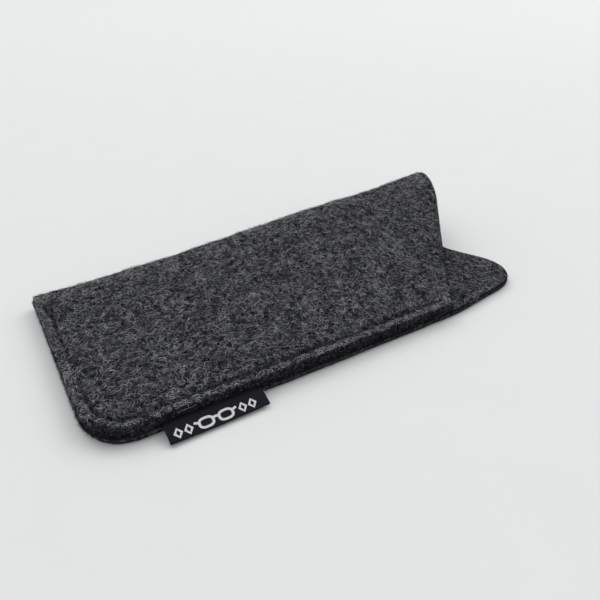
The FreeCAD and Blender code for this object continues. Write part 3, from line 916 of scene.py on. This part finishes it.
def felt_material():
    """Dark mottled wool with pale curly fibres, nearly black where it is cut: the cut felt's darker
    colour, plus painted shade on the rims, cut faces, seam groove and back-tack pit.
    """
    nodes = Nodes("charcoal_wool_felt")
    layers = []
    for scale, width, shift, distortion, strength in (
            (0.40, 0.022, (0.0, 0.0, 0.0), 1.6, 1.0),
            (0.50, 0.026, (31.0, 7.0, 3.0), 1.3, 0.9),
            (0.62, 0.032, (5.0, 53.0, 11.0), 1.1, 0.9),
            (0.45, 0.024, (71.0, 13.0, 29.0), 1.9, 1.0),
            (0.80, 0.040, (17.0, 91.0, 47.0), 0.9, 0.8),
            (1.05, 0.052, (43.0, 27.0, 83.0), 0.7, 0.7)):
        line = curly_lines(nodes, scale, width, shift, distortion)
        patch = nodes.ramp(nodes.noise(0.6, 2.0, 0.0, (shift[1], shift[2], shift[0])), 0.44, 0.58)
        layers.append(nodes.math("MULTIPLY", nodes.math("MULTIPLY", line, patch), strength))
    fibres = layers[0]
    for layer in layers[1:]:
        fibres = nodes.math("MAXIMUM", fibres, layer)
    # Darker ground where the clumps noise is low: partly the wool's own tone, partly painted shade
    # in the gaps between fibre clumps.
    clumps = nodes.ramp(nodes.noise(1.1, 4.0, 0.8, (3.0, 9.0, 1.0), 0.7), 0.44, 0.60)
    mottle = nodes.ramp(nodes.noise(0.17, 3.0, 0.4, (8.0, 2.0, 5.0), 0.6), 0.36, 0.66)
    cut = nodes.attribute("cut_edge")
    ground = nodes.mix(clumps, (0.0010, 0.0012, 0.0028), (0.013, 0.014, 0.019))
    ground = nodes.mix(nodes.math("MULTIPLY", mottle, 0.08), ground, (0.050, 0.051, 0.055))
    bright = nodes.math("MULTIPLY", fibres, nodes.ramp(mottle, 0.0, 1.0, 0.60, 0.95))
    colour = nodes.mix(bright, ground, (0.345, 0.350, 0.368))
    # Painted shade carried by the cut_edge attribute, on top of the cut felt's own darker colour.
    colour = nodes.mix(nodes.math("MULTIPLY", cut, 0.86), colour, (0.0045, 0.0050, 0.0065))
    nodes.link(colour, nodes.shader.inputs["Base Color"])
    nodes.link(nodes.ramp(clumps, 0.0, 1.0, 0.98, 0.86), nodes.shader.inputs["Roughness"])
    height = nodes.math("ADD", nodes.math("MULTIPLY", clumps, 0.8), fibres)
    nodes.bump(height, 0.8, 0.30)
    return nodes.finish(Specular_IOR_Level=0.0, Sheen_Weight=0.02, Sheen_Roughness=0.4,
                        Sheen_Tint=(0.75, 0.78, 0.82, 1.0))


def fibre_material():
    """Wool fibres, from nearly black to pale by the tone of each one."""
    nodes = Nodes("wool_fibre")
    tone = nodes.attribute("tone")
    streak = nodes.noise(1.5, 1.0)
    colour = nodes.mix(nodes.ramp(tone, 0.50, 1.0), (0.008, 0.009, 0.012), (0.84, 0.85, 0.87))
    colour = nodes.mix(nodes.math("MULTIPLY", streak, 0.15), colour, (0.03, 0.03, 0.034))
    nodes.link(colour, nodes.shader.inputs["Base Color"])
    nodes.link(nodes.ramp(streak, 0.3, 0.7, 0.55, 0.75), nodes.shader.inputs["Roughness"])
    return nodes.finish(Specular_IOR_Level=0.05)


def cut_fibre_material():
    """The cut edges' fibres, darker than the nap's: partly the cut wool's own colour, partly
    painted shade on the cut edge.
    """
    nodes = Nodes("cut_wool_fibre")
    tone = nodes.attribute("tone")
    streak = nodes.noise(1.5, 1.0)
    colour = nodes.mix(nodes.ramp(tone, 0.60, 1.0), (0.006, 0.006, 0.008), (0.30, 0.303, 0.31))
    nodes.link(colour, nodes.shader.inputs["Base Color"])
    nodes.link(nodes.ramp(streak, 0.3, 0.7, 0.7, 0.85), nodes.shader.inputs["Roughness"])
    return nodes.finish(Specular_IOR_Level=0.05)


def thread_material():
    """Black twisted sewing thread."""
    nodes = Nodes("black_sewing_thread")
    strand = nodes.noise(6.0, 2.0, 0.3)
    nodes.link(nodes.mix(strand, (0.004, 0.004, 0.005), (0.020, 0.020, 0.023)),
               nodes.shader.inputs["Base Color"])
    nodes.link(nodes.ramp(strand, 0.3, 0.7, 0.45, 0.65), nodes.shader.inputs["Roughness"])
    nodes.bump(strand, 0.4, 0.05)
    return nodes.finish(Specular_IOR_Level=0.4, Sheen_Weight=0.2)


def weave(nodes, across, along, wave_scale):
    """Height of a satin weave: long floats, each a step along from the one beside it."""
    split = nodes.tree.nodes.new("ShaderNodeSeparateXYZ")
    nodes.link(nodes.millimetres, split.inputs[0])
    warp = nodes.math("SINE", nodes.math("MULTIPLY", split.outputs["X"], across))
    skew = nodes.math("ADD", nodes.math("MULTIPLY", split.outputs["Y"], along),
                      nodes.math("MULTIPLY", split.outputs["X"], wave_scale))
    weft = nodes.math("SINE", skew)
    return nodes.math("ADD", nodes.math("MULTIPLY", warp, 0.35),
                      nodes.math("MULTIPLY", weft, 0.25))


def ribbon_material():
    """Near-black satin ribbon with a little wear."""
    nodes = Nodes("navy_satin_ribbon")
    height = weave(nodes, 42.0, 26.0, 13.0)
    shade = nodes.ramp(height, -0.5, 0.5)
    worn = nodes.ramp(nodes.noise(0.7, 3.0), 0.45, 0.75)
    colour = nodes.mix(shade, (0.0020, 0.0022, 0.0045), (0.0070, 0.0080, 0.0150))
    colour = nodes.mix(nodes.math("MULTIPLY", worn, 0.25), colour, (0.010, 0.011, 0.018))
    nodes.link(colour, nodes.shader.inputs["Base Color"])
    nodes.link(nodes.ramp(shade, 0.0, 1.0, 0.70, 0.55), nodes.shader.inputs["Roughness"])
    nodes.bump(height, 0.5, 0.04)
    return nodes.finish(Specular_IOR_Level=0.14, Sheen_Weight=0.02)


def motif_material():
    """Off-white woven yarn."""
    nodes = Nodes("white_woven_mark")
    height = weave(nodes, 36.0, 8.0, 5.0)
    grime = nodes.ramp(nodes.noise(2.2, 2.0), 0.35, 0.7)
    # Darker where the weave is low: painted shade between the raised floats.
    colour = nodes.mix(nodes.ramp(height, -0.5, 0.5), (0.50, 0.50, 0.50), (0.82, 0.82, 0.81))
    colour = nodes.mix(nodes.math("MULTIPLY", grime, 0.2), colour, (0.45, 0.45, 0.46))
    nodes.link(colour, nodes.shader.inputs["Base Color"])
    nodes.link(nodes.ramp(height, -0.5, 0.5, 0.7, 0.55), nodes.shader.inputs["Roughness"])
    nodes.bump(height, 0.4, 0.04)
    return nodes.finish(Specular_IOR_Level=0.35)


def floor_material():
    """Matt pale tabletop."""
    nodes = Nodes("pale_tabletop")
    grain = nodes.noise(0.05, 4.0)
    nodes.link(nodes.mix(grain, (0.80, 0.805, 0.80), (0.83, 0.835, 0.83)),
               nodes.shader.inputs["Base Color"])
    nodes.link(nodes.ramp(grain, 0.3, 0.7, 0.75, 0.85), nodes.shader.inputs["Roughness"])
    return nodes.finish(Specular_IOR_Level=0.2)


# ---------------------------------------------------------------- the pieces


def give(piece, material, body="case"):
    """Put a piece's material, slot and body in place. A blended piece takes no single body."""
    piece.data.materials.clear()
    piece.data.materials.append(material)
    if body:
        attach(piece, body)


felt_look = felt_material()
fibre_look = fibre_material()
thread_look = thread_material()

felt, cut_rows = build_felt()
give(felt, felt_look)
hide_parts("felt_blank")

back_rows = EDGE_ROWS + PANEL_ROWS
front_rows = back_rows + FOLD_ROWS
fuzz = []
# The fold's pieces take paler tones (lower power): a painted highlight where grazing light
# brightens the nap on the fold; the extra fibres there are real nap.
for name, count, rows, lift, power in (
        ("felt_nap_front_a", 6200, (front_rows, ROWS - 2), 0.40, 1.0),
        ("felt_nap_front_b", 6200, (front_rows, ROWS - 2), 0.40, 1.0),
        ("felt_nap_front_c", 6200, (front_rows, ROWS - 2), 0.40, 1.0),
        ("felt_nap_front_d", 6200, (front_rows, ROWS - 2), 0.60, 1.0),
        ("felt_nap_fold_painted_highlight_a", 6200, (back_rows - 4, front_rows + 10), 0.50, 0.7),
        ("felt_nap_fold_painted_highlight_b", 4500, (back_rows + 6, front_rows + 5), 0.95, 0.55),
        ("felt_nap_under", 3500, (1, back_rows), 0.40, 1.0)):
    lines = surface_fibres(outer, outward, rows, count, NAP_LENGTH, (0.05, lift), NAP_CURL)
    fuzz.append(fibre_mesh(name, lines, NAP_RADIUS, power))
tab_lines = surface_fibres(inner, -outward, (1, back_rows), 4500, NAP_LENGTH, (0.04, 0.36),
                           NAP_CURL, columns=(COLS - 75, COLS - 1))
fuzz.append(fibre_mesh("felt_nap_tab", tab_lines, NAP_RADIUS))
# The ridge's short fibres are real nap; their paler tones (power 0.7) are a painted highlight on
# the lit ridge beside the groove.
ridge_lines = np.concatenate([
    surface_fibres(outer, outward, (ROWS - 10, ROWS - 3), 3400, RIDGE_LENGTH, RIDGE_LIFT,
                   RIDGE_CURL),
    surface_fibres(outer, outward, (front_rows, ROWS - 3), 1400, RIDGE_LENGTH, RIDGE_LIFT,
                   RIDGE_CURL, columns=(2, 9))])
fuzz.append(fibre_mesh("felt_nap_ridge", ridge_lines, RIDGE_RADIUS, 0.7))
back_edge = np.array([i < EDGE_ROWS + PANEL_ROWS for i, j in cut_loop])
# The front layer's edge fibres take darker tones than the back layer's: painted shade in the
# crevice and on the front layer's cut edge.
cut_fuzz = [
    fibre_mesh("felt_cut_edge_fuzz_back",
               edge_fibres(cut_rows[:4], 5200, CUT_FIBRE_LENGTH, back_edge),
               CUT_FIBRE_RADIUS, 0.55),
    fibre_mesh("felt_cut_edge_fuzz_front",
               edge_fibres(cut_rows, 2600, CUT_FIBRE_LENGTH, ~back_edge),
               CUT_FIBRE_RADIUS, 1.2)]
for piece in fuzz:
    give(piece, fibre_look)
cut_fibre_look = cut_fibre_material()
for piece in cut_fuzz:
    give(piece, cut_fibre_look)
fuzz += cut_fuzz

needle = build_thread("needle_stitches", SEAM_HEIGHT - GROOVE_DEPTH + 0.16, 1.3, 1)
bobbin = build_thread("bobbin_stitches", GROOVE_DEPTH - 0.2, 1.3, -1)
for piece, node in ((needle, "needle_thread"), (bobbin, "bobbin_thread")):
    give(piece, thread_look)
    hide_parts(node)

ribbon = build_ribbon()
give(ribbon, ribbon_material(), body=None)
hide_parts("label_ends", "label_loop")
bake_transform(ribbon)

motif_look = motif_material()
motif = build_motif()
give(motif, motif_look, body="label")
fray = fibre_mesh("label_weft_ends", frayed_ends(), 0.035)
give(fray, motif_look, body="label")

# ---------------------------------------------------------------- floor, light and camera

bpy.ops.mesh.primitive_plane_add(size=8.0, location=(0, 0, 0))
floor = bpy.context.object
floor.name = "tabletop"
floor.data.materials.append(floor_material())

world = bpy.data.worlds.new("studio")
bpy.context.scene.world = world
world.use_nodes = True
world.node_tree.nodes["Background"].inputs["Color"].default_value = (0.97, 0.98, 1.0, 1.0)
world.node_tree.nodes["Background"].inputs["Strength"].default_value = 0.70


def add_light(name, place, aim, width, power, colour):
    lamp = bpy.data.lights.new(name, "AREA")
    lamp.shape = "DISK"
    lamp.size = width
    lamp.energy = power
    lamp.color = colour
    piece = bpy.data.objects.new(name, lamp)
    piece.location = place
    piece.rotation_euler = (Vector(aim) - Vector(place)).to_track_quat("-Z", "Y").to_euler()
    bpy.context.scene.collection.objects.link(piece)


add_light("softbox_right", (1.6, 0.2, 1.7), (0.0, 0.0, 0.0), 1.7, 13.0, (1.0, 1.0, 0.98))
add_light("softbox_back", (-0.1, 1.5, 2.0), (0.0, 0.0, 0.0), 1.6, 11.0, (1.0, 1.0, 0.98))

CAMERA_PLACE = np.array([-4.35, -107.65, 110.92])
CAMERA_YAW = math.radians(58.72)
CAMERA_PITCH = math.radians(33.31)
LENS = 33.6
SENSOR_WIDTH = 36.0
camera_data = bpy.data.cameras.new("view")
camera_data.sensor_width = SENSOR_WIDTH
camera_data.lens = LENS
camera_data.clip_start = 0.005
camera = bpy.data.objects.new("view", camera_data)
camera.location = (CAMERA_PLACE + ORIGIN) * MM
sight = Vector((math.cos(CAMERA_PITCH) * math.cos(CAMERA_YAW),
                math.cos(CAMERA_PITCH) * math.sin(CAMERA_YAW), -math.sin(CAMERA_PITCH)))
camera.rotation_euler = sight.to_track_quat("-Z", "Y").to_euler()
bpy.context.scene.collection.objects.link(camera)
bpy.context.scene.camera = camera
bpy.context.scene.view_settings.view_transform = "Standard"
